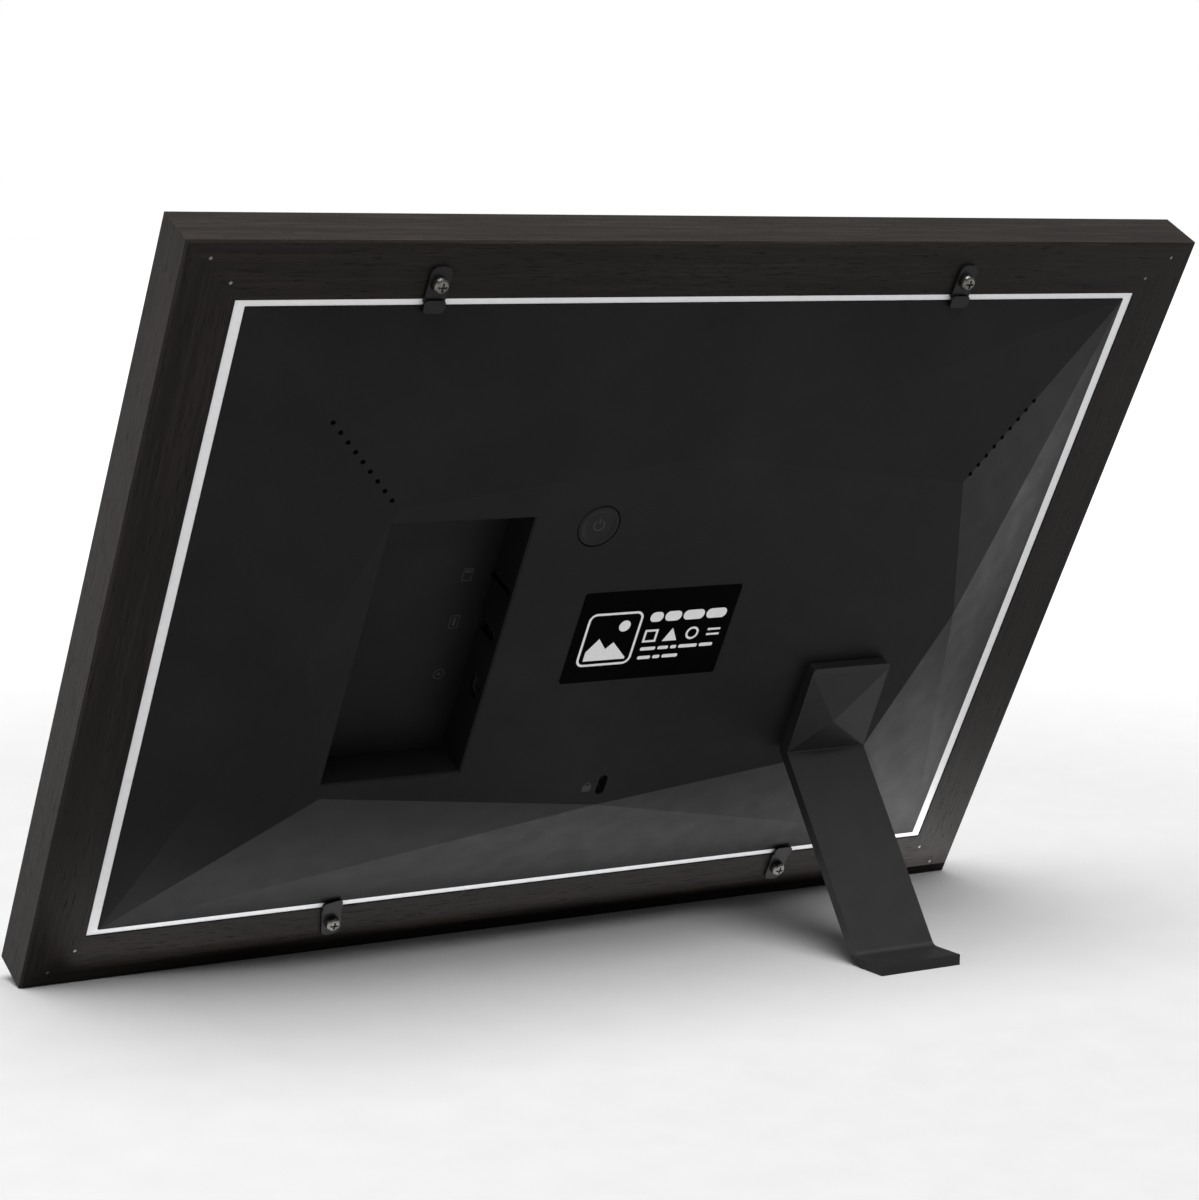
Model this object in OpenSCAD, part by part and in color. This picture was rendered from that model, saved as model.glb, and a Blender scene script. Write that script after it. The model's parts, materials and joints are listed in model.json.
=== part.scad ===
// Digital photo frame with a wooden surround, a faceted back cover and a bent-bar stand.
// Millimetres. The frame leans back on its lower back edge and on the stand's foot, at z = 0.
// The display faces -Y and the back cover faces +Y. The origin is the middle of the footprint.

/* [Wooden frame] */
// Outside width of the wooden frame
frame_w = 330; // [320:1:345]
// Outside height of the wooden frame
frame_h = 240; // [236:1:250]
// Depth of a rail, front to back
frame_d = 15.4; // [15:0.1:18]
// Width of a rail's back face
rail_w = 16.9; // [16:0.1:18]
// How far the front lip reaches in over the glass
lip_reach = 3.1; // [2:0.1:4]
// Thickness of the front lip
lip_t = 2.9; // [2.5:0.1:3]
// Chamfer along a rail's outer edges
rail_chamfer = 0.6; // [0.3:0.1:1]
// Bevel along the front lip's inner edge
lip_bevel = 1.4; // [0.5:0.1:2]
// Angle at which the frame leans back
lean = 27; // [26:0.1:29]

/* [Display] */
// Width of the mat's window
window_w = 217; // [200:1:222]
// Height of the mat's window
window_h = 136; // [125:1:142]
// Width of the display module
lcd_w = 229; // [226:1:232]
// Height of the display module
lcd_h = 149; // [146:1:152]
// Thickness of the front glass
glass_t = 1.6; // [1.2:0.1:1.6]
// Thickness of the mat's panel
mat_t = 1.5; // [1:0.1:1.5]
// Thickness of the display panel
panel_t = 1.4; // [1:0.1:1.4]
// Thickness of the backlight
backlight_t = 2.2; // [1.8:0.1:2.2]
// Thickness of the steel display bracket
bracket_t = 0.8; // [0.6:0.1:0.8]

/* [Back cover] */
// Width of the back cover
cover_w = 289.4; // [288:0.1:290]
// Height of the back cover
cover_h = 202; // [201:0.1:202]
// Height of the flat middle above the rails' back faces
cover_rise = 15.5; // [15:0.1:17]
// Wall thickness of the back cover
cover_wall = 2; // [1.8:0.1:2.2]
// Half width of the flat middle at its four corners
flat_corner_x = 94.7; // [93:0.1:96]
// Half height of the flat middle at its four corners
flat_corner_z = 48.2; // [47:0.1:50]
// Half width of the flat middle at mid height
flat_mid_x = 110.4; // [108:0.1:112]
// Half height of the flat middle at mid width
flat_mid_z = 61; // [60:0.1:63]

/* [Pocket and ports] */
// Centre of the port pocket, across
pocket_x = 73.2; // [72:0.1:74]
// Width of the port pocket
pocket_w = 44.4; // [43:0.1:44.6]
// Height of the port pocket
pocket_h = 86.5; // [84:0.1:87]
// Depth of the port pocket
pocket_depth = 12.2; // [11:0.1:12.5]
// Wall thickness of the pocket
pocket_wall = 1.8; // [1.5:0.1:2]
// Chamfer around the pocket's mouth
pocket_edge = 0.5; // [0.3:0.1:0.6]
// Height of the memory card slot above the pocket's middle
card_dz = 17; // [14:0.5:20]
// Height of the data port above the pocket's middle
usb_dz = 1; // [-1:0.5:3]
// Height of the power inlet above the pocket's middle
jack_dz = -17; // [-20:0.5:-14]
// Width of the security slot
lock_w = 3; // [3:0.1:3.2]
// Length of the security slot
lock_h = 7; // [7:0.1:7.2]
// Drop of the security slot below the cover's middle
lock_drop = 53.6; // [52:0.1:54]

/* [Power button and speakers] */
// Centre of the power button, across
button_x = 29.6; // [28:0.1:31]
// Height of the power button above the cover's middle
button_dz = 39.4; // [38:0.1:41]
// Radius of the power button's cap
button_r = 6.5; // [6:0.1:7]
// Travel of the power button
button_travel = 0.8; // [0.5:0.1:0.8]
// Number of speaker holes in a row
speaker_holes = 9; // [5:1:11]
// Pitch of the speaker holes along the crease
speaker_pitch = 3.6; // [3:0.1:4]
// Diameter of a speaker hole
speaker_hole_d = 1.4; // [1:0.1:2]

/* [Stand] */
// Distance of the stand's pivot from the middle, across
stand_x = 75.7; // [75:0.1:77]
// Drop of the stand's pivot below the cover's middle
stand_drop = 29.6; // [29:0.1:31]
// Width of the stand's bar
stand_w = 28.8; // [26:0.1:30]
// Thickness of the stand's bar
stand_t = 3.2; // [3:0.1:4]
// Half height of the stand's square head
head_half = 15.1; // [14:0.1:15.5]
// How much further out the head's lower edge stands than its upper edge
head_slant = 1.2; // [0:0.1:1.5]
// Rise of the pyramid on the stand's head
head_rise = 2.4; // [1:0.1:3]
// Angle of the leg from the frame's downward direction
leg_angle = 62; // [60:0.5:65]
// Length of the foot's flat
foot_len = 12.5; // [11:0.5:18]

/* [Turn clips] */
// Width of a turn clip
clip_w = 6.3; // [6:0.1:7]
// Thickness of a turn clip
clip_t = 0.8; // [0.8:0.1:1]
// Distance of a clip's screw from the frame's outer edge
clip_inset = 12; // [11.5:0.1:12.5]

/* [Hidden] */
$fn = 64;

// Clearances
skin = 0.01;
fit_gap = 0.1;
part_gap = 0.15;
run_gap = 0.05;
button_gap = 0.3;
over = 1;

// Layers, as depths from the rails' back faces: negative is towards the display
glass_y0 = lip_t - frame_d + fit_gap;
glass_y1 = glass_y0 + glass_t;
mat_y0 = glass_y1 + fit_gap;
mat_y1 = mat_y0 + mat_t;
panel_y0 = mat_y1 + fit_gap;
panel_y1 = panel_y0 + panel_t;
backlight_y1 = panel_y1 + fit_gap + backlight_t;
bracket_y0 = backlight_y1 + fit_gap;
bracket_y1 = bracket_y0 + bracket_t;
mat_rim_y = -0.4;
cover_skirt_y = mat_y1 + fit_gap;
cover_eave_y = -1.3;
roof_y = cover_rise - cover_wall;
pocket_y = cover_rise - pocket_depth;
board_t = 1.6;
board_y1 = 6.8;
board_y0 = board_y1 - board_t;

// Plan sizes
mid_z = frame_h / 2;
inner_w = frame_w - 2 * rail_w;
inner_h = frame_h - 2 * rail_w;
flat_inset = 0.4;
pocket_side = pocket_x - pocket_w / 2;
socket_x1 = pocket_side - pocket_wall - fit_gap;
button_z = mid_z + button_dz;
stand_z = mid_z - stand_drop;
lock_z = mid_z - lock_drop;
depth_shift = (frame_d * cos(lean) - frame_h * sin(lean)) / 2;
floor_up = rail_chamfer * sin(lean);

// Display ribbon: width, thickness, height of its rise and run along the board
ribbon_w = 24;
ribbon_t = 0.3;
ribbon_z = 81;
ribbon_run = 12;

// Screws: head radius, head height, shank radius, shank length
CLIP_SCREW = [2.3, 2.2, 1.2, 8];
BRACKET_SCREW = [2.2, 1.4, 0.95, 6.5];
BOARD_SCREW = [2, 1.3, 0.9, 6];
STAND_SCREW = [2.8, 2, 1.4, 7];
recess_w = 0.6;
recess_depth = 0.7;
recess_reach = 1.15;

// Dome of a pan head, as shares of the head's radius and height
HEAD_DOME = [[1, 0.4], [0.93, 0.68], [0.75, 0.88], [0.45, 1]];

// Brads across the mitres: radius, length, and distances of each pair from the corner
brad_r = 0.5;
brad_len = 10;
brad_steps = [5, 12];
brad_offset = 2.6;

// Bosses in the cover
bracket_hole_x = 120;
bracket_hole_z = 79;
bracket_boss_r = 3.5;
board_boss_r = 3;
BOARD_X = [-40, 48];
BOARD_Z = [85, 175];
board_hole_edge = 4;
BOARD_HOLES = [for (x = [BOARD_X[0] + board_hole_edge, BOARD_X[1] - board_hole_edge])
    for (z = [BOARD_Z[0] + board_hole_edge, BOARD_Z[1] - board_hole_edge]) [x, z]];
BRACKET_HOLES = [for (x = [-1, 1]) for (z = [-1, 1]) [x * bracket_hole_x, mid_z + z * bracket_hole_z]];

// Processor and its shield
SHIELD_AT = [-12, 116];
shield_size = [34, 30];
shield_t = 2.4;
shield_wall = 0.3;

// Place, footprint and height of the larger parts on the board
CHIPS = [
    [[-26, 150], [13, 12], 2], [[-4, 148], [12, 10], 1.1], [[14, 100], [10, 8], 1.1],
    [[-30, 95], [7, 7], 3], [[20, 142], [6, 6], 2.8], [[4, 166], [16, 4], 2.2], [[25, 118], [5, 4], 1.4]
];

// Turn clips: place across, 1 on the top rail or -1 on the bottom rail, and turn from square
CLIPS = [[91.5, 1, 0], [-81.5, 1, 0], [69.5, -1, 12], [-91.5, -1, 0]];
clip_heel = 5;
clip_heel_r = 2.4;
clip_tip = 8.4;
clip_step = [4.6, 5.6];
clip_tip_r = 1.2;
clip_y = 0.05;
clip_bore_r = CLIP_SCREW[2] + 0.08;

// Speaker row: its start from the crease's upper end, and the crease's plan direction
speaker_start = 3.3;
crease = [cover_w / 2 - flat_corner_x, cover_h / 2 - flat_corner_z];
crease_dir = crease / norm(crease);
crease_angle = atan2(crease[1], crease[0]);
speaker_size = [30, 14];
speaker_corner_r = 6;
speaker_mid = speaker_start + speaker_pitch * (speaker_holes - 1) / 2;
speaker_y = [1, 4.4];
magnet_r = 5;
magnet_t = 2.6;

// Ports: widths along the pocket's wall by heights
card_slot = [12, 1.6];
usb_slot = [8.8, 3.6];
jack_hole_r = 3.6;
jack_bore_r = 2.8;
jack_pin_r = 0.7;
jack_size = [14, 9.4, 6];
card_size = [14.6, 15, 2];
usb_size = [7, 7.8, 2.8];
jack_y = board_y1 + jack_size[2] / 2;

// Power button and its switch: its cap stands a little proud, with a rounded edge and a shallow dish
button_top = cover_rise + 0.25;
button_edge = 0.4;
button_land = 1;
button_dish = 0.35;
button_dish_r = button_r - 2.2;
button_flange_r = 7.9;
button_flange_t = 0.7;
stem_r = 1.5;
switch_size = [6, 6, 2.5];
switch_pin_r = 1.6;
switch_pin_h = 0.5;
switch_y = board_y1 + switch_size[2];
stem_y = switch_y + switch_pin_h + button_travel + fit_gap;

// Stand
hub_r = 6;
hub_y = 11;
hub_boss_r = 10;
hub_boss_t = 4;
washer_r = 9;
washer_t = 1;
head_y0 = cover_rise + part_gap;
head_y1 = head_y0 + stand_t;
head_corner_r = 1.6;
apex = [2.7, -3.1];
bend_r = 3;
knee_r = 9;
arc_steps = 10;

// ---- helpers ----

// Leans a shape back that is drawn with the frame upright, its back face at y = 0 and its foot at z = 0,
// and sets the chamfered lower back edge on the floor
module lean_back() {
    translate([0, depth_shift, -floor_up]) rotate([-lean, 0, 0]) children();
}

// Extrudes an outline, drawn in the plane of the display, from depth y0 to depth y1
module slab(y0, y1) {
    translate([0, y1, 0]) rotate([90, 0, 0]) linear_extrude(y1 - y0) children();
}

// A round bar or hole along the depth direction
module rod(x, z, r, y0, y1) {
    translate([x, y1, z]) rotate([90, 0, 0]) cylinder(r = r, h = y1 - y0);
}

module sheet(w, h) {
    translate([0, mid_z]) square([w, h], center = true);
}

module round_rect(w, h, r) {
    square([w - 2 * r, h], center = true);
    square([w, h - 2 * r], center = true);
    for (x = [-1, 1], z = [-1, 1]) translate([x * (w / 2 - r), z * (h / 2 - r)]) circle(r);
}

module long_slot(w, h) {
    square([w, h - w], center = true);
    for (z = [-1, 1]) translate([0, z * (h - w) / 2]) circle(w / 2);
}

// A pan-head screw whose head's underside is at depth y; dir is 1 when the head faces the back
module screw(x, z, y, size, dir) {
    translate([x, y, z]) rotate([-90 * dir, 0, 0]) difference() {
        union() {
            rotate_extrude() polygon(concat(
                [[0, 0], [size[0], 0]],
                [for (p = HEAD_DOME) [p[0] * size[0], p[1] * size[1]]],
                [[0, size[1]]]
            ));
            translate([0, 0, -size[3]]) cylinder(r = size[2], h = size[3] + skin);
        }
        for (turn = [0, 90]) rotate([0, 0, turn]) translate([0, 0, size[1]])
            cube([size[0] * recess_reach, recess_w, 2 * recess_depth], center = true);
    }
}

function unit(v) = v / norm(v);

// Points of a round of radius r at the corner p between the points a and b
function rounded(a, p, b, r) =
    let (u = unit(a - p), v = unit(b - p), half = acos(u * v) / 2)
    let (c = p + unit(u + v) * r / sin(half))
    let (s = p + u * r / tan(half) - c, e = p + v * r / tan(half) - c)
    let (a0 = atan2(s[1], s[0]), turn = atan2(s[0] * e[1] - s[1] * e[0], s * e))
    [for (i = [0:arc_steps]) c + r * [cos(a0 + turn * i / arc_steps), sin(a0 + turn * i / arc_steps)]];

// ---- wooden frame ----

module rail_section() {
    polygon([
        [0, -rail_chamfer], [-rail_chamfer, 0], [rail_chamfer - frame_d, 0], [-frame_d, -rail_chamfer],
        [-frame_d, lip_bevel - rail_w - lip_reach], [lip_bevel - frame_d, -rail_w - lip_reach],
        [lip_t - frame_d, -rail_w - lip_reach], [lip_t - frame_d, -rail_w], [0, -rail_w]
    ]);
}

// A mitred rail along X, with its outer edge at z = 0 and its inner edge below
module rail(length) {
    cut = frame_w;
    difference() {
        rotate([90, 0, 90]) linear_extrude(length, center = true) rail_section();
        for (side = [0, 1]) mirror([side, 0, 0]) rotate([90, 0, 0])
            linear_extrude(cut, center = true) polygon([
                [length / 2 + cut, cut], [length / 2 + cut, -cut], [length / 2 - cut, -cut]
            ]);
    }
}

// Brads stand beside each mitre, in the top and bottom rails
module brads(grow) {
    for (x = [-1, 1], top = [0, 1], step = brad_steps) {
        z = top * frame_h + (1 - 2 * top) * step;
        rod(x * (frame_w / 2 - step - brad_offset), z, brad_r + grow, -brad_len, grow > 0 ? over : -0.1);
    }
}

module clip_pilots() {
    for (clip = CLIPS)
        rod(clip[0], mid_z + clip[1] * (mid_z - clip_inset), CLIP_SCREW[2] + run_gap, -CLIP_SCREW[3], over);
}

module frame_rail_top() {
    color("#231e1b") lean_back() difference() {
        translate([0, 0, frame_h]) rail(frame_w);
        clip_pilots();
        brads(run_gap);
    }
}

module frame_rail_bottom() {
    color("#231e1b") lean_back() difference() {
        mirror([0, 0, 1]) rail(frame_w);
        clip_pilots();
        brads(run_gap);
    }
}

module frame_rail_left() {
    color("#28221f") lean_back() translate([-frame_w / 2, 0, mid_z]) rotate([0, -90, 0]) rail(frame_h);
}

module frame_rail_right() {
    color("#28221f") lean_back() translate([frame_w / 2, 0, mid_z]) rotate([0, 90, 0]) rail(frame_h);
}

module corner_brads() {
    color("#77726c") lean_back() brads(0);
}

// ---- display stack ----

module front_glass() {
    color("#9fb0b8", 0.35) lean_back() slab(glass_y0, glass_y1)
        sheet(inner_w - 2 * part_gap, inner_h - 2 * part_gap);
}

module mat_frame() {
    color("#e4e4e6") lean_back() {
        difference() {
            slab(mat_y0, mat_y1) sheet(inner_w - 2 * part_gap, inner_h - 2 * part_gap);
            slab(mat_y0 - over, mat_y1 + over) sheet(window_w, window_h);
        }
        slab(mat_y1 - skin, mat_rim_y) difference() {
            sheet(inner_w - 2 * part_gap, inner_h - 2 * part_gap);
            sheet(cover_w + 2 * part_gap, cover_h + 2 * part_gap);
        }
    }
}

module lcd_panel() {
    color("#0a0b0d") lean_back() slab(panel_y0, panel_y1) sheet(lcd_w, lcd_h);
}

module backlight_unit() {
    color("#b9bcc0") lean_back() slab(panel_y1 + fit_gap, backlight_y1) sheet(lcd_w, lcd_h);
}

module lcd_bracket() {
    bracket_edge = 6;
    ribbon_slot = [ribbon_w + 2, 4];
    color("#8d9196") lean_back() difference() {
        slab(bracket_y0, bracket_y1)
            sheet(2 * (bracket_hole_x + bracket_edge), 2 * (bracket_hole_z + bracket_edge));
        for (p = BRACKET_HOLES)
            rod(p[0], p[1], BRACKET_SCREW[2] + fit_gap, bracket_y0 - over, bracket_y1 + over);
        slab(bracket_y0 - over, bracket_y1 + over) translate([0, ribbon_z])
            square(ribbon_slot, center = true);
    }
}

module bracket_screws() {
    color("#9a9da1") lean_back() for (p = BRACKET_HOLES)
        screw(p[0], p[1], bracket_y0 - skin, BRACKET_SCREW, -1);
}

// The ribbon rises through the bracket's slot and lies on the board's lower edge
module lcd_ribbon() {
    color("#a8742c") lean_back() {
        slab(backlight_y1, board_y1 + ribbon_t) translate([0, ribbon_z])
            square([ribbon_w, ribbon_t], center = true);
        slab(board_y1, board_y1 + ribbon_t) translate([-ribbon_w / 2, ribbon_z])
            square([ribbon_w, ribbon_run]);
    }
}

// ---- back cover ----

function flat_outline(inset) =
    let (cx = flat_corner_x - inset, cz = flat_corner_z - inset)
    let (mx = flat_mid_x - inset, mz = flat_mid_z - inset)
    [[cx, cz], [mx, 0], [cx, -cz], [0, -mz], [-cx, -cz], [-mx, 0], [-cx, cz], [0, mz]];

// A block with a faceted roof: flat sides to the eave, then facets up to the flat middle
module faceted(inset, base_y, eave_y, top_y, flat_in) {
    hull() {
        slab(base_y, eave_y) sheet(cover_w - 2 * inset, cover_h - 2 * inset);
        slab(top_y - skin, top_y) translate([0, mid_z]) polygon(flat_outline(flat_in));
    }
}

module cover_outside() {
    faceted(0, cover_skirt_y, 0, cover_rise, 0);
}

module cover_inside() {
    faceted(cover_wall, cover_skirt_y - over, cover_eave_y, roof_y, flat_inset);
}

// Everything that stands inside the shell: the pocket's walls and the screw bosses
module cover_inner_walls() {
    pocket_hollow(pocket_y - pocket_wall, cover_rise, pocket_wall);
    for (p = BRACKET_HOLES) rod(p[0], p[1], bracket_boss_r, bracket_y1, cover_rise);
    for (p = BOARD_HOLES) rod(p[0], p[1], board_boss_r, board_y1, cover_rise);
    rod(-stand_x, stand_z, hub_boss_r, cover_rise - hub_boss_t, cover_rise);
}

// The pocket's hollow, grown by so much on every side
module pocket_hollow(y0, y1, grow) {
    slab(y0, y1) translate([pocket_x, mid_z])
        square([pocket_w + 2 * grow, pocket_h + 2 * grow], center = true);
}

// A cut through the pocket's side wall, centred on a height above the board
module wall_cut(dz, y) {
    translate([pocket_side - pocket_wall / 2, y, mid_z + dz]) rotate([0, 90, 0])
        linear_extrude(pocket_wall + over, center = true) children();
}

// Holes in the bosses that start at depth y
module screw_holes(places, size, y) {
    for (p = places) rod(p[0], p[1], size[2] + run_gap, y - over, y + size[3]);
}

module speaker_row() {
    for (i = [0 : speaker_holes - 1]) {
        p = [flat_corner_x, mid_z + flat_corner_z] + crease_dir * (speaker_start + i * speaker_pitch);
        rod(p[0], p[1], speaker_hole_d / 2, -over, cover_rise + over);
    }
}

module back_cover() {
    color("#1c1c1d") lean_back() difference() {
        union() {
            difference() {
                cover_outside();
                cover_inside();
            }
            intersection() {
                cover_outside();
                cover_inner_walls();
            }
        }
        pocket_hollow(pocket_y, cover_rise + over, 0);
        hull() {
            pocket_hollow(cover_rise - pocket_edge - skin, cover_rise - pocket_edge, 0);
            pocket_hollow(cover_rise, cover_rise + over, pocket_edge);
        }
        screw_holes(BRACKET_HOLES, BRACKET_SCREW, bracket_y1);
        screw_holes(BOARD_HOLES, BOARD_SCREW, board_y1);
        rod(-stand_x, stand_z, hub_r + run_gap, hub_y, cover_rise + over);
        rod(button_x, button_z, button_r + button_gap, roof_y - over, cover_rise + over);
        slab(roof_y - over, cover_rise + over) translate([0, lock_z]) long_slot(lock_w, lock_h);
        wall_cut(card_dz, board_y1 + card_size[2] / 2) square([card_slot[1], card_slot[0]], center = true);
        wall_cut(usb_dz, board_y1 + usb_size[2] / 2) long_slot(usb_slot[1], usb_slot[0]);
        wall_cut(jack_dz, jack_y) circle(jack_hole_r);
        for (side = [0, 1]) mirror([side, 0, 0]) speaker_row();
    }
}

module rating_label() {
    label_size = [53.3, 31.2];
    label_t = 0.12;
    color("#08080a") lean_back() slab(cover_rise, cover_rise + label_t)
        translate([0, mid_z + 1]) round_rect(label_size[0], label_size[1], 1);
}

module lock_plate() {
    plate = [16, 11];
    plate_t = 1;
    plate_y = roof_y - fit_gap;
    color("#a3a7ab") lean_back() slab(plate_y - plate_t, plate_y) translate([0, lock_z]) difference() {
        square(plate, center = true);
        long_slot(lock_w, lock_h);
    }
}

// ---- power button ----

module power_button() {
    flange_y = roof_y - fit_gap;
    dish_y = button_top - button_dish;
    color("#202022") lean_back() translate([button_x, 0, button_z]) rotate([-90, 0, 0])
        rotate_extrude() polygon([
            [0, stem_y], [stem_r, stem_y], [stem_r, flange_y - button_flange_t],
            [button_flange_r, flange_y - button_flange_t], [button_flange_r, flange_y],
            [button_r, flange_y], [button_r, button_top - button_edge],
            [button_r - button_edge, button_top], [button_r - button_land, button_top],
            [button_dish_r, dish_y], [0, dish_y]
        ]);
}

module power_switch() {
    color("#3b3d40") lean_back() {
        slab(board_y1, switch_y) translate([button_x, button_z])
            square([switch_size[0], switch_size[1]], center = true);
        rod(button_x, button_z, switch_pin_r, switch_y - skin, switch_y + switch_pin_h);
    }
}

// ---- electronics ----

module main_board() {
    color("#1f5a36") lean_back() difference() {
        slab(board_y0, board_y1) translate([BOARD_X[0], BOARD_Z[0]])
            square([BOARD_X[1] - BOARD_X[0], BOARD_Z[1] - BOARD_Z[0]]);
        for (p = BOARD_HOLES) rod(p[0], p[1], BOARD_SCREW[2] + fit_gap, board_y0 - over, board_y1 + over);
    }
}

// A box of footprint size [w, h] and height t on the board, centred on p
module on_board(p, size, t) {
    slab(board_y1, board_y1 + t) translate(p) square(size, center = true);
}

module processor_chip() {
    color("#151515") lean_back() on_board(SHIELD_AT, [14, 14], 1.2);
}

module processor_shield() {
    color("#b4b8bb") lean_back() difference() {
        on_board(SHIELD_AT, shield_size, shield_t);
        slab(board_y1 - over, board_y1 + shield_t - shield_wall) translate(SHIELD_AT)
            square(shield_size - 2 * [shield_wall, shield_wall], center = true);
    }
}

module board_chips() {
    color("#2b2b2e") lean_back() for (chip = CHIPS) on_board(chip[0], chip[1], chip[2]);
}

module board_screws() {
    color("#9a9da1") lean_back() for (p = BOARD_HOLES) screw(p[0], p[1], board_y0 - skin, BOARD_SCREW, -1);
}

// A socket body on the board whose mouth faces the pocket; size is depth, width and height
module socket_body(dz, size) {
    translate([socket_x1 - size[0], board_y1, mid_z + dz - size[1] / 2]) cube([size[0], size[2], size[1]]);
}

// A box of depth, width and height inside a socket body of height body_t, from that far behind the mouth
module socket_inside(dz, body_t, behind, size) {
    translate([socket_x1 - behind, board_y1 + (body_t - size[2]) / 2, mid_z + dz - size[1] / 2])
        cube([size[0], size[2], size[1]]);
}

module micro_sd_socket() {
    depth = 12.5;
    color("#aeb2b6") lean_back() difference() {
        socket_body(card_dz, card_size);
        socket_inside(card_dz, card_size[2], depth, [depth + over, 11.4, 1.1]);
    }
}

module usb_port() {
    depth = 6;
    color("#b7babd") lean_back() {
        difference() {
            socket_body(usb_dz, usb_size);
            socket_inside(usb_dz, usb_size[2], depth, [depth + over, 7, 2]);
        }
        socket_inside(usb_dz, usb_size[2], depth + skin, [4.5, 3.6, 0.7]);
    }
}

module power_jack() {
    bore_depth = 10;
    pin_len = 8.5;
    color("#141416") lean_back() {
        difference() {
            socket_body(jack_dz, jack_size);
            translate([socket_x1 - bore_depth, jack_y, mid_z + jack_dz]) rotate([0, 90, 0])
                cylinder(r = jack_bore_r, h = bore_depth + over);
        }
        translate([socket_x1 - bore_depth - skin, jack_y, mid_z + jack_dz]) rotate([0, 90, 0])
            cylinder(r = jack_pin_r, h = pin_len);
    }
}

module wifi_antenna() {
    color("#b8902f") lean_back() slab(roof_y - fit_gap - 0.3, roof_y - fit_gap)
        translate([-64, 160]) square([40, 8]);
}

// A small oval speaker under its row of holes
module speaker() {
    middle = [flat_corner_x, mid_z + flat_corner_z] + crease_dir * speaker_mid;
    lean_back() translate([middle[0], 0, middle[1]]) {
        slab(speaker_y[0], speaker_y[1]) rotate(crease_angle)
            round_rect(speaker_size[0], speaker_size[1], speaker_corner_r);
        rod(0, 0, magnet_r, speaker_y[0] - magnet_t, speaker_y[0] + skin);
    }
}

module speaker_left() {
    color("#333436") mirror([1, 0, 0]) speaker();
}

module speaker_right() {
    color("#333436") speaker();
}

// ---- turn clips ----

// Moves to a clip's screw, with the clip's tip pointing down the page
module at_clip(i) {
    translate([CLIPS[i][0], 0, mid_z + CLIPS[i][1] * (mid_z - clip_inset)])
        rotate([0, CLIPS[i][2], 0]) mirror([0, 0, CLIPS[i][1] > 0 ? 0 : 1]) children();
}

// The flat lies on the rail and steps up to a tip that holds the cover's edge
module turn_clip(i) {
    color("#1a1a1b") lean_back() at_clip(i) difference() {
        union() {
            slab(clip_y, clip_y + clip_t) {
                translate([0, (clip_heel - clip_step[1]) / 2])
                    round_rect(clip_w, clip_heel + clip_step[1], clip_heel_r);
                translate([0, -clip_step[1] / 2]) square([clip_w, clip_step[1]], center = true);
            }
            slab(clip_y + clip_t - skin, clip_y + 2 * clip_t) translate([0, -(clip_step[0] + clip_tip) / 2])
                round_rect(clip_w, clip_tip - clip_step[0], clip_tip_r);
        }
        rod(0, 0, clip_bore_r, clip_y - over, clip_y + 2 * clip_t + over);
    }
}

module turn_clip_1() { turn_clip(0); }
module turn_clip_2() { turn_clip(1); }
module turn_clip_3() { turn_clip(2); }
module turn_clip_4() { turn_clip(3); }

module clip_screws() {
    shank = CLIP_SCREW[3] - clip_t;
    color("#c9ccd0") lean_back() for (clip = CLIPS)
        screw(clip[0], mid_z + clip[1] * (mid_z - clip_inset), clip_y + clip_t + fit_gap,
            [CLIP_SCREW[0], CLIP_SCREW[1], CLIP_SCREW[2], shank], 1);
}

// ---- stand ----

// A point given by its distance behind the frame's lower back edge and its height above the floor
function floor_point(rear, up) = [rear * cos(lean) - up * sin(lean), rear * sin(lean) + up * cos(lean)];

// Side outline of the bent bar, as depth and height: head, leg and flat foot
function bar_outline() =
    let (fold = [head_y1 + head_slant, stand_z - head_half], dir = [sin(leg_angle), -cos(leg_angle)])
    let (under = fold - stand_t * [cos(leg_angle), sin(leg_angle)])
    let (heel = [head_y0, under[1] + dir[1] * (head_y0 - under[0]) / dir[0]])
    let (up = floor_point(0, 1), upper = fold + dir * (fold * up - floor_up - stand_t) / -(dir * up))
    let (lower = under + dir * (under * up - floor_up) / -(dir * up), along = floor_point(1, 0))
    let (toe_top = upper + along * foot_len, toe = toe_top - up * stand_t, top = stand_z + head_half)
    concat(
        [[head_y0, top], [head_y1, top]],
        rounded([head_y1, top], fold, upper, 1),
        rounded(fold, upper, toe_top, bend_r),
        [toe_top, toe],
        rounded(toe, lower, heel, knee_r),
        rounded(lower, heel, [head_y0, top], bend_r)
    );

module stand() {
    tall = 2 * frame_h;
    color("#232324") lean_back() difference() {
        union() {
            intersection() {
                translate([-stand_x, 0, 0]) rotate([90, 0, 90]) linear_extrude(stand_w, center = true)
                    polygon(bar_outline());
                slab(0, tall) translate([-stand_x, stand_z + head_half - tall / 2])
                    round_rect(stand_w, tall, head_corner_r);
            }
            translate([-stand_x, head_y1 - skin, stand_z]) polyhedron(
                points = [
                    [-stand_w / 2, head_slant, -head_half], [stand_w / 2, head_slant, -head_half],
                    [stand_w / 2, 0, head_half - head_corner_r],
                    [-stand_w / 2, 0, head_half - head_corner_r],
                    [apex[0], head_slant / 2 + head_rise, apex[1]]
                ],
                faces = [[3, 2, 1, 0], [0, 1, 4], [1, 2, 4], [2, 3, 4], [3, 0, 4]]);
            rod(-stand_x, stand_z, hub_r, hub_y, head_y0 + skin);
        }
        rod(-stand_x, stand_z, STAND_SCREW[2] + run_gap, hub_y - over, hub_y + STAND_SCREW[3]);
    }
}

module stand_washer() {
    color("#a3a7ab") lean_back() difference() {
        rod(-stand_x, stand_z, washer_r, hub_y - washer_t, hub_y);
        rod(-stand_x, stand_z, STAND_SCREW[2] + fit_gap, hub_y - washer_t - over, hub_y + over);
    }
}

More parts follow.
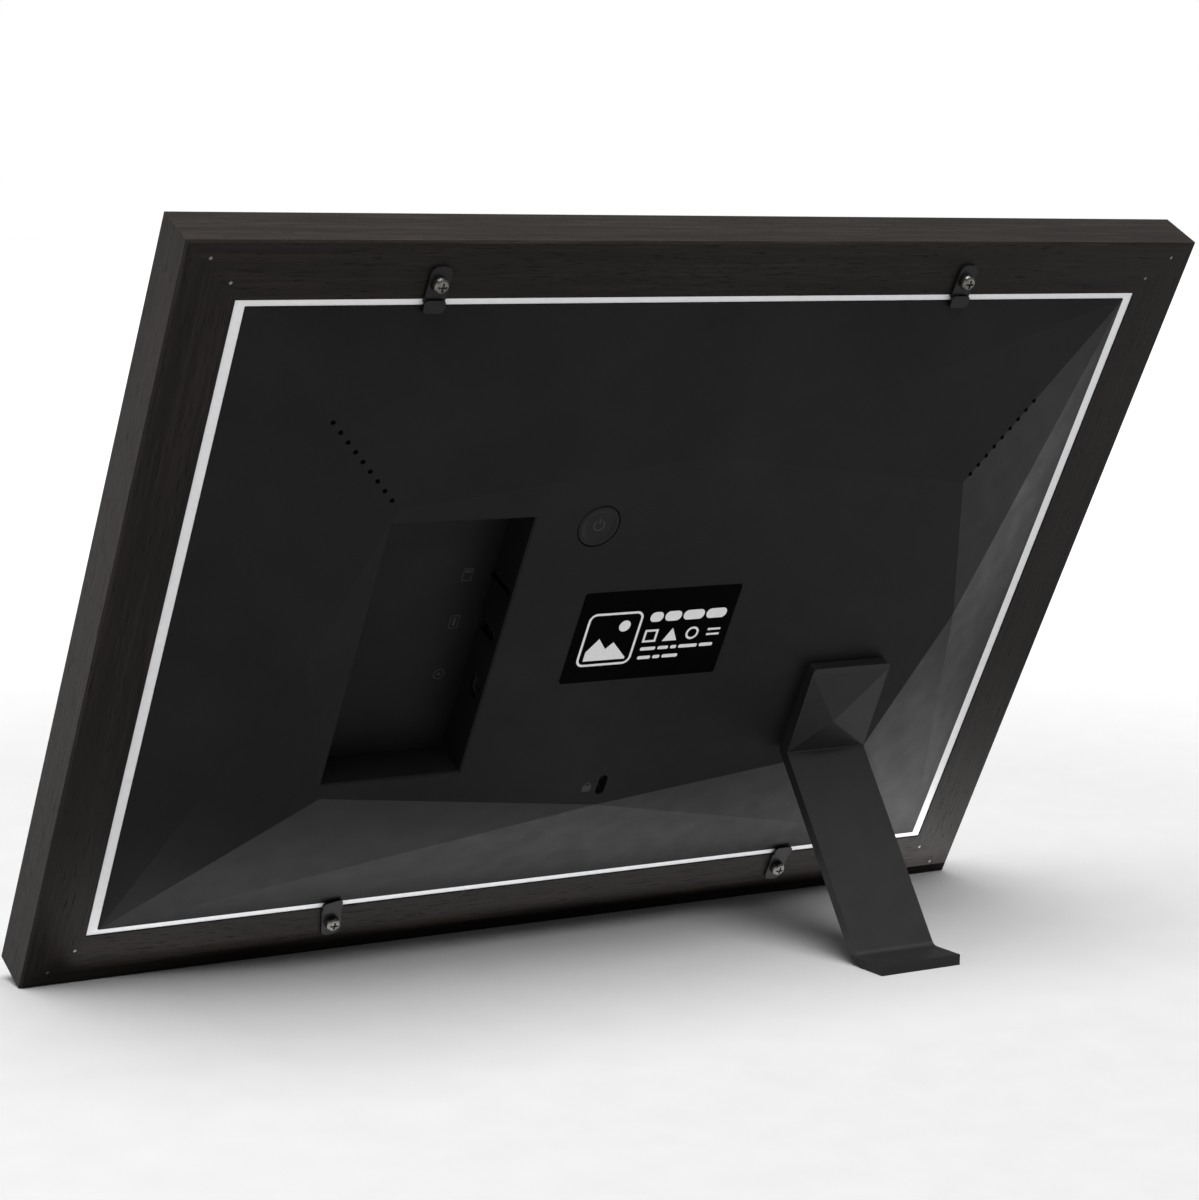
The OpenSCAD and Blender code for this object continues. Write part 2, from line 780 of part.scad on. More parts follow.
module stand_screw() {
    color("#9a9da1") lean_back() screw(-stand_x, stand_z, hub_y - washer_t - skin, STAND_SCREW, -1);
}

frame_rail_top();
frame_rail_bottom();
frame_rail_left();
frame_rail_right();
corner_brads();
front_glass();
mat_frame();
lcd_panel();
backlight_unit();
lcd_bracket();
bracket_screws();
lcd_ribbon();
back_cover();
rating_label();
lock_plate();
power_button();
power_switch();
main_board();
processor_chip();
processor_shield();
board_chips();
board_screws();
micro_sd_socket();
usb_port();
power_jack();
wifi_antenna();
speaker_left();
speaker_right();
turn_clip_1();
turn_clip_2();
turn_clip_3();
turn_clip_4();
clip_screws();
stand();
stand_washer();
stand_screw();
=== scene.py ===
"""Looks of a leaning digital photo frame: materials, printed and moulded marks, and a studio."""

import json
import math

import bmesh
import bpy
from mathutils import Matrix, Vector


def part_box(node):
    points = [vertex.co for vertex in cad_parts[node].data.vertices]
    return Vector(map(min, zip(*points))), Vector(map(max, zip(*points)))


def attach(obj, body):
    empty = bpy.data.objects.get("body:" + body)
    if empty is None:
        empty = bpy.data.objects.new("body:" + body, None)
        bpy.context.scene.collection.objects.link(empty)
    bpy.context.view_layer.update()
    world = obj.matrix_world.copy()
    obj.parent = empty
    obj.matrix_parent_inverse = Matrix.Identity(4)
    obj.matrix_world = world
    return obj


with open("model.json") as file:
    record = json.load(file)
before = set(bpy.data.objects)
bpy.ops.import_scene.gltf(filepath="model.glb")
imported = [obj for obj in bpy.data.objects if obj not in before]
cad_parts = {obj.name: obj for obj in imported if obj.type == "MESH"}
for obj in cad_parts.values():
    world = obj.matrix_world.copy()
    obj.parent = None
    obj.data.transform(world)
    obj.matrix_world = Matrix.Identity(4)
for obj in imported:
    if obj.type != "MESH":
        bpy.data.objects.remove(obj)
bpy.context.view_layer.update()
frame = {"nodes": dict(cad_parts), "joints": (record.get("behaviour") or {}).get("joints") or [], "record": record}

NODES = frame["nodes"]
JOINTS = {joint["name"]: joint for joint in frame["joints"]}
MM = 0.001

# The frame's own directions: out of the back cover's flat, up along the frame, and across
OUT = Vector(JOINTS["stand_turn"]["axis"])
UP = Vector((0, -OUT.z, OUT.y))
ACROSS = Vector((1, 0, 0))
LEAN = math.atan2(-OUT.z, OUT.y)


def middle_of(node):
    low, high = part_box(node)
    return (low + high) / 2


# The label lies on the cover's flat, this far above the cover's middle
LABEL_UP = 1.0
LABEL_T = 0.12
FLAT_MIDDLE = middle_of("rating_label") - UP * (LABEL_UP * MM) - OUT * (LABEL_T / 2 * MM)


def leaned():
    """Turns a piece drawn in millimetres as (across, out, up) from the middle of the cover's flat."""
    place = Matrix.Identity(4)
    for column, axis in enumerate((ACROSS, OUT, UP)):
        for row in range(3):
            place[row][column] = axis[row] * MM
        place[column][3] = FLAT_MIDDLE[column]
    return place


LEANED = leaned()


# ---- material building ----


class Look:
    """One node material with a Principled shader, built with short calls."""

    def __init__(self, name, **constants):
        self.material = bpy.data.materials.new(name)
        self.material.use_nodes = True
        self.tree = self.material.node_tree
        self.tree.nodes.clear()
        self.shader = self.add("ShaderNodeBsdfPrincipled")
        output = self.add("ShaderNodeOutputMaterial")
        self.tree.links.new(self.shader.outputs[0], output.inputs[0])
        self.coords = self.add("ShaderNodeTexCoord").outputs["Object"]
        for socket, value in constants.items():
            self.shader.inputs[socket.replace("_", " ")].default_value = value

    def add(self, kind, **settings):
        node = self.tree.nodes.new(kind)
        for key, value in settings.items():
            setattr(node, key, value)
        return node

    def feed(self, socket, value):
        """Links an output to a socket, or sets a plain value on it."""
        if isinstance(value, bpy.types.NodeSocket):
            self.tree.links.new(value, socket)
        else:
            socket.default_value = value

    def upright_coords(self):
        """Coordinates in metres with the frame stood upright."""
        node = self.add("ShaderNodeMapping")
        node.inputs["Rotation"].default_value = (LEAN, 0, 0)
        self.feed(node.inputs["Vector"], self.coords)
        return node.outputs[0]

    def stretched(self, vector, scale, shift=(0, 0, 0)):
        node = self.add("ShaderNodeMapping")
        node.inputs["Scale"].default_value = scale
        node.inputs["Location"].default_value = shift
        self.feed(node.inputs["Vector"], vector)
        return node.outputs[0]

    def noise(self, vector, scale, detail=2.0, roughness=0.5, distortion=0.0):
        node = self.add("ShaderNodeTexNoise")
        self.feed(node.inputs["Vector"], vector)
        for socket, value in zip(("Scale", "Detail", "Roughness", "Distortion"),
                                 (scale, detail, roughness, distortion)):
            node.inputs[socket].default_value = value
        return node.outputs["Fac"]

    def cells(self, vector, scale, feature="F1"):
        node = self.add("ShaderNodeTexVoronoi", feature=feature)
        self.feed(node.inputs["Vector"], vector)
        node.inputs["Scale"].default_value = scale
        return node.outputs["Distance"]

    def math(self, operation, a, b=0.0, clamp=False):
        node = self.add("ShaderNodeMath", operation=operation, use_clamp=clamp)
        self.feed(node.inputs[0], a)
        self.feed(node.inputs[1], b)
        return node.outputs[0]

    def between(self, value, low, high, out_low=0.0, out_high=1.0):
        """Maps low..high to out_low..out_high, clamped."""
        node = self.add("ShaderNodeMapRange", clamp=True)
        for socket, number in zip(range(5), (value, low, high, out_low, out_high)):
            self.feed(node.inputs[socket], number)
        return node.outputs[0]

    def mix(self, share, first, second):
        """Mixes two colours, each an output or a plain colour."""
        node = self.add("ShaderNodeMix", data_type="RGBA")
        self.feed(node.inputs["Factor"], share)
        colours = [socket for socket in node.inputs if socket.type == "RGBA"]
        for socket, value in zip(colours, (first, second)):
            self.feed(socket, (*value, 1.0) if isinstance(value, tuple) else value)
        return [socket for socket in node.outputs if socket.type == "RGBA"][0]

    def colour(self, value):
        self.feed(self.shader.inputs["Base Color"], value)

    def rough(self, value):
        self.feed(self.shader.inputs["Roughness"], value)

    def bump(self, height, distance, strength=1.0, below=None):
        """Raises the surface by height times distance, on top of a bump below it."""
        node = self.add("ShaderNodeBump")
        node.inputs["Strength"].default_value = strength
        node.inputs["Distance"].default_value = distance
        self.feed(node.inputs["Height"], height)
        if below is not None:
            self.feed(node.inputs["Normal"], below)
        self.feed(self.shader.inputs["Normal"], node.outputs[0])
        return node.outputs[0]


# ---- materials ----


def wood(name, along):
    """Espresso-stained wood with straight grain along the rail, open pores and a satin coat."""
    look = Look(name, Specular_IOR_Level=0.12)
    upright_at = look.upright_coords()

    def grain(length, width, shift):
        """Coordinates that stretch a noise to streaks of about that length and width in metres."""
        scale = [1 / width] * 3
        scale["XYZ".index(along)] = 1 / length
        return look.stretched(upright_at, scale, shift)

    bands = look.noise(grain(0.16, 0.0045, (3, 0, 7)), 1, 3, 0.55, 0.35)
    streaks = look.noise(grain(0.035, 0.0011, (0, 5, 0)), 1, 4, 0.6, 0.2)
    fibres = look.noise(grain(0.012, 0.00028, (9, 2, 4)), 1, 2, 0.6)
    pores = look.noise(grain(0.0055, 0.00042, (1, 8, 6)), 1, 1, 0.5)
    pore_depth = look.between(pores, 0.62, 0.7)
    patches = look.noise(upright_at, 14, 2, 0.5)

    dark, mid, light = (0.0032, 0.0023, 0.0018), (0.0092, 0.0067, 0.0054), (0.0215, 0.0162, 0.0134)
    tone = look.mix(look.between(bands, 0.3, 0.72), dark, mid)
    tone = look.mix(look.between(streaks, 0.46, 0.78, 0.0, 0.75), tone, light)
    tone = look.mix(look.between(fibres, 0.35, 0.75, 0.0, 0.35), tone, mid)
    tone = look.mix(look.between(patches, 0.4, 0.75, 0.0, 0.3), tone, dark)
    look.colour(look.mix(look.math("MULTIPLY", pore_depth, 0.8), tone, (0.0022, 0.0016, 0.0013)))

    gloss = look.between(streaks, 0.3, 0.8, 0.44, 0.58)
    look.rough(look.math("ADD", gloss, look.math("MULTIPLY", pore_depth, 0.15)))
    relief = look.bump(look.math("ADD", streaks, look.math("MULTIPLY", fibres, 0.6)), 0.00012, 0.7)
    look.bump(look.math("SUBTRACT", 1.0, pore_depth), 0.00006, 0.8, relief)
    return look.material


def moulded_black(name, dark, light, grain, roughness, depth, specular=0.11):
    """Black moulded plastic with a fine spark-eroded texture and slight flow tone."""
    look = Look(name, Specular_IOR_Level=specular)
    texture = look.noise(look.coords, 1 / grain, 3, 0.62)
    flow = look.noise(look.coords, 22, 3, 0.55, 0.4)
    cloud = look.noise(look.coords, 140, 2, 0.5)
    tone = look.mix(look.between(flow, 0.3, 0.7), dark, light)
    look.colour(look.mix(look.between(texture, 0.52, 0.75, 0.0, 0.35), tone, light))
    sheen = look.between(cloud, 0.3, 0.7, roughness - 0.035, roughness + 0.035)
    look.rough(look.math("ADD", sheen, look.between(texture, 0.4, 0.8, 0.0, 0.06)))
    look.bump(texture, depth, 0.6)
    return look.material


def painted_black(name):
    """Thin black paint on pressed steel, with fine orange peel."""
    look = Look(name, Specular_IOR_Level=0.16, Coat_Weight=0.05, Coat_Roughness=0.3)
    peel = look.noise(look.coords, 2600, 2, 0.5)
    rubbed = look.noise(look.coords, 900, 4, 0.7)
    worn = look.between(rubbed, 0.66, 0.74)
    look.colour(look.mix(look.math("MULTIPLY", worn, 0.5), (0.0055, 0.0055, 0.0055), (0.03, 0.03, 0.031)))
    look.rough(look.between(peel, 0.3, 0.7, 0.34, 0.44))
    look.bump(peel, 0.00004, 0.6)
    return look.material


def steel(name, tone, roughness, along=(1, 0, 0)):
    """Metal with fine brushed lines along one direction and a slightly cloudy tone."""
    look = Look(name, Metallic=1.0)
    scale = tuple(60.0 if a else 4200.0 for a in along)
    lines = look.noise(look.stretched(look.upright_coords(), scale), 1, 3, 0.6)
    cloud = look.noise(look.coords, 260, 3, 0.6)
    dull = tuple(0.72 * c for c in tone)
    look.colour(look.mix(look.between(cloud, 0.35, 0.7), dull, tone))
    look.rough(look.between(lines, 0.3, 0.7, roughness - 0.07, roughness + 0.07))
    look.bump(lines, 0.00001, 0.5)
    return look.material


def mat_board(name):
    """White mat board with a soft paper fibre."""
    look = Look(name, Specular_IOR_Level=0.3)
    fibre = look.noise(look.coords, 3800, 4, 0.65, 0.6)
    pulp = look.noise(look.coords, 320, 3, 0.6)
    shade = look.math("ADD", look.between(fibre, 0.3, 0.7, 0.0, 0.6), look.between(pulp, 0.3, 0.7, 0.0, 0.4))
    look.colour(look.mix(shade, (0.72, 0.72, 0.735), (0.84, 0.84, 0.85)))
    look.rough(look.between(pulp, 0.3, 0.7, 0.6, 0.72))
    look.bump(fibre, 0.00006, 0.5)
    return look.material


def clear_glass(name):
    """Flat picture glass with a trace of smear."""
    look = Look(name, IOR=1.5, Transmission_Weight=1.0)
    smear = look.noise(look.stretched(look.coords, (9, 9, 26)), 1, 4, 0.6, 0.8)
    look.colour(look.mix(look.between(smear, 0.4, 0.7), (0.985, 0.99, 0.99), (0.97, 0.98, 0.978)))
    look.rough(look.between(smear, 0.45, 0.75, 0.0, 0.03))
    return look.material


def dark_display(name):
    """A switched-off display: nearly black, with a faint pixel grid under a smooth face."""
    look = Look(name, Specular_IOR_Level=0.5)
    at = look.upright_coords()
    grid = look.cells(look.stretched(at, (9000, 1, 9000)), 1)
    haze = look.noise(at, 11, 2, 0.5)
    base = look.mix(look.between(haze, 0.3, 0.7), (0.0035, 0.0037, 0.0045), (0.0055, 0.0058, 0.0068))
    look.colour(look.mix(look.between(grid, 0.2, 0.7, 0.0, 0.5), base, (0.008, 0.0085, 0.0105)))
    look.rough(look.between(haze, 0.3, 0.7, 0.16, 0.2))
    return look.material


def gloss_label(name):
    """Gloss black film, very slightly uneven where it is stuck down."""
    look = Look(name, Specular_IOR_Level=0.01)
    wave = look.noise(look.coords, 190, 2, 0.5)
    grain = look.noise(look.coords, 5200, 2, 0.5)
    look.colour(look.mix(look.between(grain, 0.35, 0.7), (0.0003, 0.0003, 0.0003), (0.0008, 0.0008, 0.0009)))
    look.rough(look.between(wave, 0.3, 0.7, 0.26, 0.36))
    look.bump(wave, 0.00006, 0.35)
    return look.material


def print_ink(name, tone):
    """Screen-printed ink with slightly uneven cover."""
    look = Look(name, Specular_IOR_Level=0.4)
    cover = look.noise(look.coords, 3000, 3, 0.6)
    thin = tuple(0.82 * c for c in tone)
    look.colour(look.mix(look.between(cover, 0.3, 0.65), thin, tone))
    look.rough(look.between(cover, 0.3, 0.7, 0.42, 0.52))
    look.bump(cover, 0.00001, 0.5)
    return look.material


def circuit_board(name):
    """Green solder mask with copper traces showing through as lighter lines."""
    look = Look(name, Specular_IOR_Level=0.5)
    at = look.upright_coords()
    lanes = look.cells(look.stretched(at, (260, 1, 900)), 1, "DISTANCE_TO_EDGE")
    trace = look.between(lanes, 0.05, 0.08, 1.0, 0.0)
    blotch = look.noise(at, 300, 2, 0.5)
    mask = look.mix(look.between(blotch, 0.3, 0.7), (0.008, 0.06, 0.022), (0.012, 0.085, 0.032))
    look.colour(look.mix(look.math("MULTIPLY", trace, 0.6), mask, (0.05, 0.19, 0.06)))
    look.rough(look.between(blotch, 0.3, 0.7, 0.28, 0.36))
    look.bump(trace, 0.00003, 0.6)
    return look.material


def amber_film(name):
    """Copper tracks under amber polyimide film."""
    look = Look(name, Specular_IOR_Level=0.5, Coat_Weight=0.4, Coat_Roughness=0.15)
    tracks = look.add("ShaderNodeTexWave", wave_type="BANDS", bands_direction="X")
    look.feed(tracks.inputs["Vector"], look.coords)
    tracks.inputs["Scale"].default_value = 420
    tracks.inputs["Distortion"].default_value = 0.15
    look.colour(look.mix(tracks.outputs["Fac"], (0.26, 0.1, 0.018), (0.5, 0.24, 0.05)))
    look.rough(look.between(tracks.outputs["Fac"], 0, 1, 0.26, 0.38))
    look.bump(tracks.outputs["Fac"], 0.00002, 0.6)
    return look.material


def component_black(name):
    """Filled epoxy of chips, sockets and speaker housings."""
    look = Look(name, Specular_IOR_Level=0.45)
    filler = look.noise(look.coords, 4200, 3, 0.65)
    look.colour(look.mix(look.between(filler, 0.4, 0.75), (0.011, 0.011, 0.012), (0.03, 0.03, 0.032)))
    look.rough(look.between(filler, 0.3, 0.7, 0.45, 0.62))
    look.bump(filler, 0.00003, 0.6)
    return look.material


WOOD_ALONG_X = wood("espresso_wood_across", "X")
WOOD_ALONG_Z = wood("espresso_wood_upright", "Z")
SLOT_LOOKS = {
    "brad_steel": steel("brad_steel", (0.2, 0.19, 0.18), 0.45),
    "clear_glass": clear_glass("clear_glass"),
    "white_mat": mat_board("white_mat"),
    "display_glass": dark_display("display_glass"),
    "bare_steel": steel("bare_steel", (0.56, 0.57, 0.58), 0.34),
    "zinc_screw": steel("zinc_screw", (0.6, 0.61, 0.63), 0.3, (0, 0, 1)),
    "dark_screw": steel("dark_screw", (0.17, 0.165, 0.155), 0.3, (0, 0, 1)),
    "amber_flex": amber_film("amber_flex"),
    "black_cover": moulded_black(
        "black_cover", (0.0038, 0.0038, 0.0039), (0.0068, 0.0068, 0.007), 0.00032, 0.47, 0.00005),
    "black_label": gloss_label("black_label"),
    "black_button": moulded_black(
        "black_button", (0.0062, 0.0062, 0.0065), (0.0095, 0.0095, 0.01), 0.0002, 0.4, 0.00002),
    "dark_component": component_black("dark_component"),
    "green_board": circuit_board("green_board"),
    "black_metal": painted_black("black_metal"),
    "black_stand": moulded_black(
        "black_stand", (0.0055, 0.0055, 0.0056), (0.0085, 0.0084, 0.0085), 0.00026, 0.42, 0.00004, 0.22),
}


def dress_nodes():
    """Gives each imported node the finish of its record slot; the wood's grain follows each rail."""
    for part in frame["record"]["subparts"]:
        name, slot = part["node"], part["material_slot"]
        if slot == "espresso_wood":
            material = WOOD_ALONG_X if name.endswith(("top", "bottom")) else WOOD_ALONG_Z
        else:
            material = SLOT_LOOKS[slot]
        for place in NODES[name].material_slots:
            place.material = material


def soften_edges(name, width, angle=40, segments=2):
    """Rounds a node's sharp edges by a small true bevel."""
    bevel = NODES[name].modifiers.new("edge", "BEVEL")
    bevel.width = width * MM
    bevel.segments = segments
    bevel.limit_method = "ANGLE"
    bevel.angle_limit = math.radians(angle)
    bevel.use_clamp_overlap = False
    normals = NODES[name].modifiers.new("normals", "WEIGHTED_NORMAL")
    normals.keep_sharp = True


dress_nodes()
HANDLED_EDGE = 0.35
FINE_EDGE = 0.12
GLASS_EDGE = 0.2
for rail in ("frame_rail_top", "frame_rail_bottom", "frame_rail_left", "frame_rail_right"):
    soften_edges(rail, HANDLED_EDGE, 25)
soften_edges("stand", HANDLED_EDGE, 25, 3)
soften_edges("power_button", FINE_EDGE, 30)
soften_edges("mat_frame", FINE_EDGE)
soften_edges("front_glass", GLASS_EDGE)
for number in range(1, 5):
    soften_edges(f"turn_clip_{number}", FINE_EDGE)


# ---- small shapes, drawn in millimetres on the cover's flat ----


class Draft:
    """A mesh made of flat outlines in (across, up), each raised between two heights out of the cover."""

    def __init__(self):
        self.mesh = bmesh.new()

    def prism(self, outline, low, high):
        bottom = [self.mesh.verts.new((x, low, z)) for x, z in outline]
        top = [self.mesh.verts.new((x, high, z)) for x, z in outline]
        count = len(outline)
        self.mesh.faces.new(list(reversed(bottom)))
        self.mesh.faces.new(top)
        for i in range(count):
            j = (i + 1) % count
            self.mesh.faces.new((bottom[i], bottom[j], top[j], top[i]))

    def ring(self, centre, inner, outer, low, high, start=0.0, end=360.0, steps=48):
        """A ring, or an arc of one when start and end are given in degrees."""
        whole = end - start >= 360
        angles = [math.radians(start + (end - start) * i / steps) for i in range(steps + 1)]
        for a, b in zip(angles, angles[1:]):
            corners = [(inner, a), (outer, a), (outer, b), (inner, b)]
            outline = [(centre[0] + r * math.cos(t), centre[1] + r * math.sin(t)) for r, t in corners]
            self.prism(outline, low, high)
        if whole:
            bmesh.ops.remove_doubles(self.mesh, verts=self.mesh.verts, dist=1e-5)

    def bar(self, centre, width, height, low, high, radius=0.0, steps=4):
        """A bar with rounded corners."""
        outline = []
        for sx, sz, start in ((1, 1, 0), (-1, 1, 90), (-1, -1, 180), (1, -1, 270)):
            corner = (centre[0] + sx * (width / 2 - radius), centre[1] + sz * (height / 2 - radius))
            for i in range(steps + 1 if radius else 1):
                turn = math.radians(start + 90 * i / steps)
                outline.append((corner[0] + radius * math.cos(turn), corner[1] + radius * math.sin(turn)))
        self.prism(outline, low, high)

    def disc(self, centre, radius, low, high, steps=32):
        turns = [2 * math.pi * i / steps for i in range(steps)]
        outline = [(centre[0] + radius * math.cos(t), centre[1] + radius * math.sin(t)) for t in turns]
        self.prism(outline, low, high)

    def frame(self, centre, size, line, low, high):
        """A rectangle drawn as a line of even width."""
        width, height = size
        for side in (-1, 1):
            self.bar((centre[0] + side * (width - line) / 2, centre[1]), line, height, low, high)
            self.bar((centre[0], centre[1] + side * (height - line) / 2), width - 2 * line, line, low, high)

    def finish(self, name, material, body):
        """Stands the mesh in the row frame and lets it ride on a body."""
        bmesh.ops.recalc_face_normals(self.mesh, faces=self.mesh.faces)
        data = bpy.data.meshes.new(name)
        self.mesh.to_mesh(data)
        self.mesh.free()
        data.transform(LEANED)
        data.materials.append(material)
        piece = bpy.data.objects.new(name, data)
        bpy.context.scene.collection.objects.link(piece)
        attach(piece, body)


# Heights in millimetres out of the cover's flat: how far ink stands up, and how far it is sunk in
INK_RISE = 0.03
INK_SINK = 0.005
PRINT_LOW = LABEL_T
PRINT_HIGH = LABEL_T + INK_RISE
POCKET_DEPTH = 12.2
# The power sign lies in the button's dish, a little below the flat
DISH_LOW = -0.11
DISH_HIGH = -0.07
WHITE_INK = print_ink("white_ink", (0.78, 0.78, 0.78))
FAINT_INK = print_ink("faint_ink", (0.013, 0.013, 0.0132))
DIM_INK = print_ink("dim_ink", (0.007, 0.007, 0.0071))


def label_picture():
    """A generic picture sign: a framed view of a sun over two hills."""
    draft = Draft()
    x, up, half, line, corner = 13.9, 0.2, 9.2, 0.75, 2.6
    for side in (-1, 1):
        draft.bar((x + side * (half - line / 2), up), line, 2 * (half - corner), PRINT_LOW, PRINT_HIGH)
        draft.bar((x, up + side * (half - line / 2)), 2 * (half - corner), line, PRINT_LOW, PRINT_HIGH)
    for sx, sz, start in ((1, 1, 0), (-1, 1, 90), (-1, -1, 180), (1, -1, 270)):
        centre = (x + sx * (half - corner), up + sz * (half - corner))
        draft.ring(centre, corner - line, corner, PRINT_LOW, PRINT_HIGH, start, start + 90, 10)
    foot = up - half + 1.9
    hills = [(x + 7, foot), (x + 7, foot + 3.2), (x + 3.6, foot + 7.6), (x + 0.6, foot + 3.9),
             (x - 1.6, foot + 6.1), (x - 7, foot + 0.6), (x - 7, foot)]
    draft.prism(hills, PRINT_LOW, PRINT_HIGH)
    draft.disc((x - 3.7, up + 4.3), 1.9, PRINT_LOW, PRINT_HIGH)
    draft.finish("label_picture", WHITE_INK, "frame")


def label_signs():
    """A row of four broad strokes, a row of four plain signs, and two lines of short strokes."""
    draft = Draft()
    at = (PRINT_LOW, PRINT_HIGH)
    for start, width in ((2.2, 4.4), (-2.9, 5.6), (-9.2, 7.2), (-17.1, 7.0)):
        draft.bar((start - width / 2, 6.9), width, 3.4, *at, radius=1.6, steps=6)
    row = 0.3
    draft.frame((0.2, row), (4.6, 4.4), 0.7, *at)
    draft.prism([(-4.4, row - 2.2), (-9.4, row - 2.2), (-6.9, row + 2.3)], *at)
    draft.ring((-14.2, row), 1.5, 2.2, *at)
    draft.bar((-21.6, row + 0.9), 4.4, 0.7, *at)
    draft.bar((-21.6, row - 0.9), 4.4, 0.7, *at)
    for up, words in ((-4.2, (5.2, 3.6, 2.0, 6.4, 4.6)), (-7.3, (4.4, 2.4, 5.4))):
        start = 2.3
        for word in words:
            draft.bar((start - word / 2, up), word, 1.15, *at, radius=0.45)
            start -= word + 0.8
    draft.finish("label_signs", WHITE_INK, "frame")


def power_sign():
    """The power symbol, faint in the button's dish."""
    middle = middle_of("power_button")
    across = (middle - FLAT_MIDDLE).dot(ACROSS) / MM
    up = (middle - FLAT_MIDDLE).dot(UP) / MM
    draft = Draft()
    draft.ring((across, up), 1.5, 1.85, DISH_LOW, DISH_HIGH, 125, 415, 36)
    draft.bar((across, up + 1.35), 0.35, 1.7, DISH_LOW, DISH_HIGH, radius=0.17)
    draft.finish("power_sign", FAINT_INK, "power_button")


def lock_sign():
    """A small padlock beside the security slot."""
    across, up, low, high = 5.1, -54.4, -INK_SINK, INK_RISE
    draft = Draft()
    draft.bar((across, up), 3.0, 2.2, low, high, radius=0.3)
    draft.ring((across, up + 1.1), 0.75, 1.1, low, high, 0, 180, 16)
    draft.finish("lock_sign", DIM_INK, "frame")


def port_signs():
    """Faint signs on the pocket's floor, each beside its opening."""
    floor_at = -POCKET_DEPTH
    low, high = floor_at - INK_SINK, floor_at + INK_RISE
    across = 59
    draft = Draft()
    draft.frame((across, 17), (3.2, 4.2), 0.3, low, high)
    draft.bar((across, 18), 1.8, 0.9, low, high)
    draft.frame((across, 1), (3.0, 4.4), 0.3, low, high)
    draft.bar((across, 1), 0.9, 2.6, low, high)
    draft.ring((across, -17), 1.5, 1.8, low, high)
    draft.disc((across, -17), 0.5, low, high)
    draft.finish("port_signs", DIM_INK, "frame")


label_picture()
label_signs()
power_sign()
lock_sign()
port_signs()


# ---- studio ----

# The camera is placed from the middle of the cover's flat, in the frame's own directions:
# degrees round to the side and up from straight out, and what it looks at in millimetres
CAMERA_SIDE = 37.97
CAMERA_RISE = 30.28
CAMERA_TIP = 29.3
CAMERA_DISTANCE = 0.9352
CAMERA_LENS = 96.39
CAMERA_AIM = Vector((4.5, -22.0, -2.1))


def camera():
    """Looks at the back from beside it, a little above the floor."""
    side, rise, tip = (math.radians(angle) for angle in (CAMERA_SIDE, CAMERA_RISE, CAMERA_TIP))
    level = ACROSS * math.sin(side) + OUT * math.cos(side)
    back = level * math.cos(rise) + UP * math.sin(rise)
    upright = UP * math.cos(tip) - OUT * math.sin(tip)
    right = upright.cross(back).normalized()
    data = bpy.data.cameras.new("camera")
    data.lens = CAMERA_LENS
    data.sensor_width = 36
    stand = bpy.data.objects.new("camera", data)
    turned = Matrix((right, back.cross(right), back)).transposed()
    stand.location = LEANED @ CAMERA_AIM + back * CAMERA_DISTANCE
    stand.rotation_euler = turned.to_euler()
    bpy.context.scene.collection.objects.link(stand)
    bpy.context.scene.camera = stand


def sun(name, rise, turn, strength, softness):
    """Even light from far away, from that elevation and azimuth in degrees."""
    data = bpy.data.lights.new(name, "SUN")
    data.energy = strength
    data.angle = math.radians(softness)
    lamp = bpy.data.objects.new(name, data)
    lamp.rotation_euler = (math.radians(90 - rise), 0, math.radians(turn))
    bpy.context.scene.collection.objects.link(lamp)


def softbox(name, place, target, size, power, seen=True):
    """A rectangular light that faces its target; one that isn't seen is hidden from the camera."""
    data = bpy.data.lights.new(name, "AREA")
    data.shape = "RECTANGLE"
    data.size, data.size_y = size
    data.energy = power
    lamp = bpy.data.objects.new(name, data)
    lamp.location = place
    lamp.rotation_euler = (Vector(place) - Vector(target)).to_track_quat("Z", "Y").to_euler()
    lamp.visible_camera = seen
    bpy.context.scene.collection.objects.link(lamp)


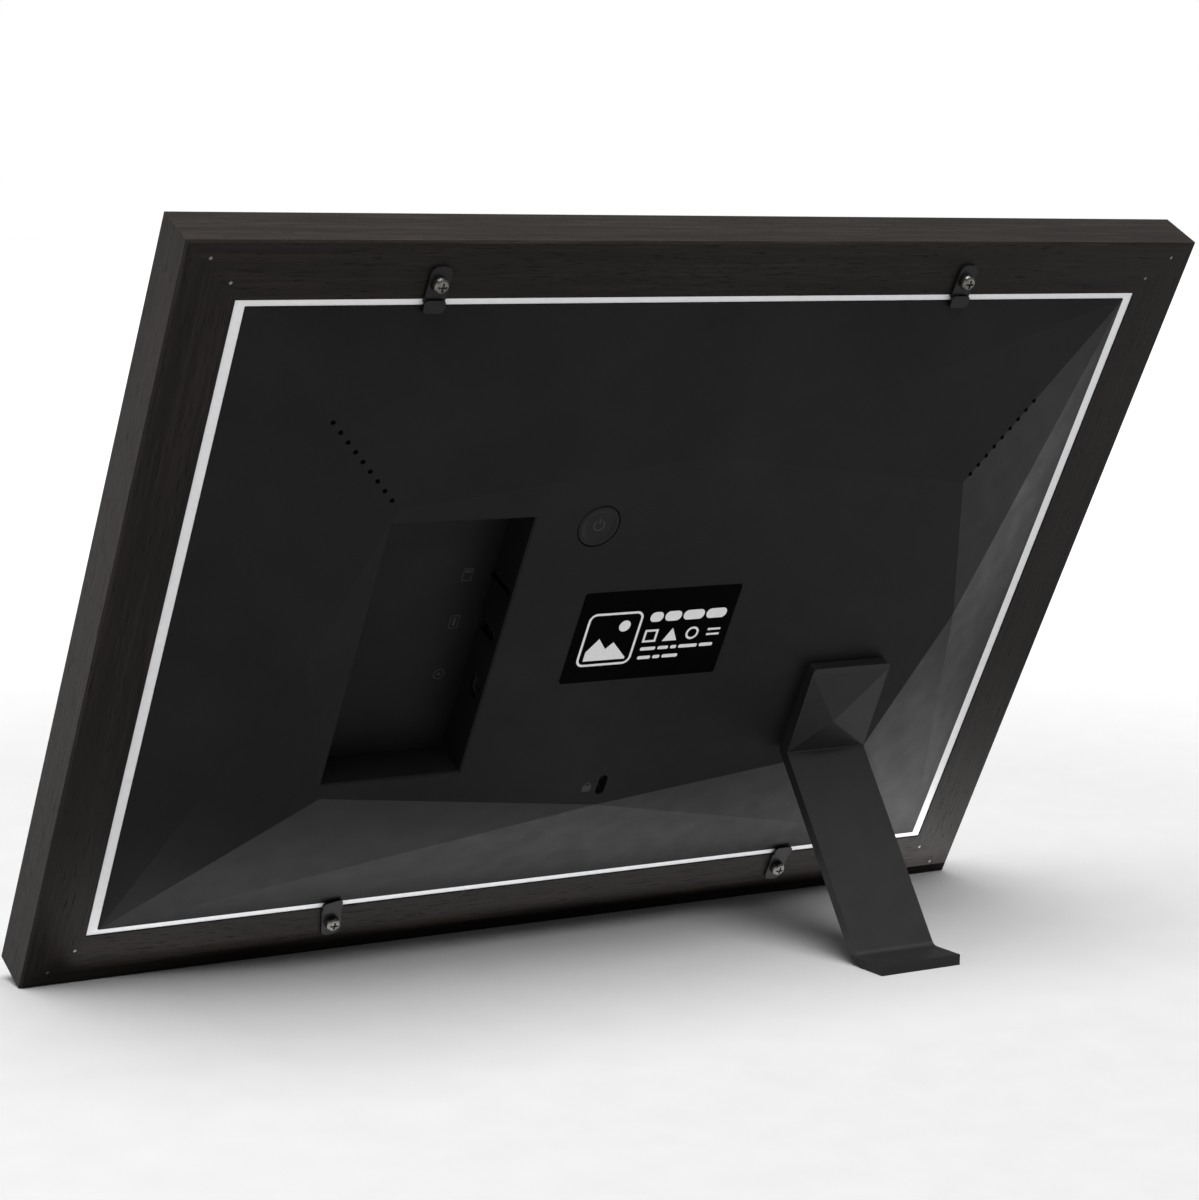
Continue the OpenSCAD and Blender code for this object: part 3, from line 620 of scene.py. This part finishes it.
def floor():
    half = 6.0
    data = bpy.data.meshes.new("floor")
    corners = [(-half, -half, 0), (half, -half, 0), (half, half, 0), (-half, half, 0)]
    data.from_pydata(corners, [], [(0, 1, 2, 3)])
    look = Look("pale_floor", Specular_IOR_Level=0.2)
    grain = look.noise(look.coords, 60, 3, 0.6)
    # Painted shade: the floor's colour is darker near the object and lighter from 0.35 m to 0.9 m out, a painted
    # shade round the object
    reach = look.add("ShaderNodeVectorMath", operation="LENGTH")
    look.feed(reach.inputs[0], look.coords)
    painted_shade_near = look.mix(look.between(grain, 0.3, 0.7), (0.29, 0.29, 0.29), (0.3, 0.3, 0.3))
    look.colour(look.mix(look.between(reach.outputs["Value"], 0.35, 0.9), painted_shade_near, (0.42, 0.42, 0.42)))
    look.rough(look.between(grain, 0.3, 0.7, 0.75, 0.85))
    data.materials.append(look.material)
    ground = bpy.data.objects.new("floor", data)
    bpy.context.scene.collection.objects.link(ground)


def sky(seen, lighting):
    """A plain pale backdrop that is bright where it is seen and dimmer as a light."""
    world = bpy.data.worlds.new("studio")
    world.use_nodes = True
    tree = world.node_tree
    tree.nodes.clear()
    path = tree.nodes.new("ShaderNodeLightPath")
    strength = tree.nodes.new("ShaderNodeMapRange")
    strength.inputs["To Min"].default_value = lighting
    strength.inputs["To Max"].default_value = seen
    backdrop = tree.nodes.new("ShaderNodeBackground")
    output = tree.nodes.new("ShaderNodeOutputWorld")
    tree.links.new(path.outputs["Is Camera Ray"], strength.inputs["Value"])
    tree.links.new(strength.outputs[0], backdrop.inputs["Strength"])
    backdrop.inputs["Color"].default_value = (1, 1, 1, 1)
    tree.links.new(backdrop.outputs[0], output.inputs[0])
    bpy.context.scene.world = world


camera()
floor()
sky(1.0, 0.3)
sun("overhead", 76, 165, 8.3, 50)
softbox("side", (1.3, -0.2, 0.5), (0, 0, 0.1), (0.8, 0.6), 11)

# Hidden lights just above the floor that face up: name, middle, where they aim, size and power
GLOW_RISE = 0.003
AIM_RISE = 0.1
for name, (x, y), aim_x, size, power in (
        ("under", (-0.01, -0.03), -0.01, (0.32, 0.026), 0.041),
        ("floor_right", (-0.38, -0.07), -0.35, (0.2, 0.25), 0.2),
        ("floor_corner", (-0.19, -0.05), -0.19, (0.1, 0.08), 0.05),
        ("floor_near", (-0.07, 0.03), -0.07, (0.14, 0.04), 0.009)):
    softbox(name, (x, y, GLOW_RISE), (aim_x, y, AIM_RISE), size, power, False)
bpy.context.scene.view_settings.view_transform = "Standard"
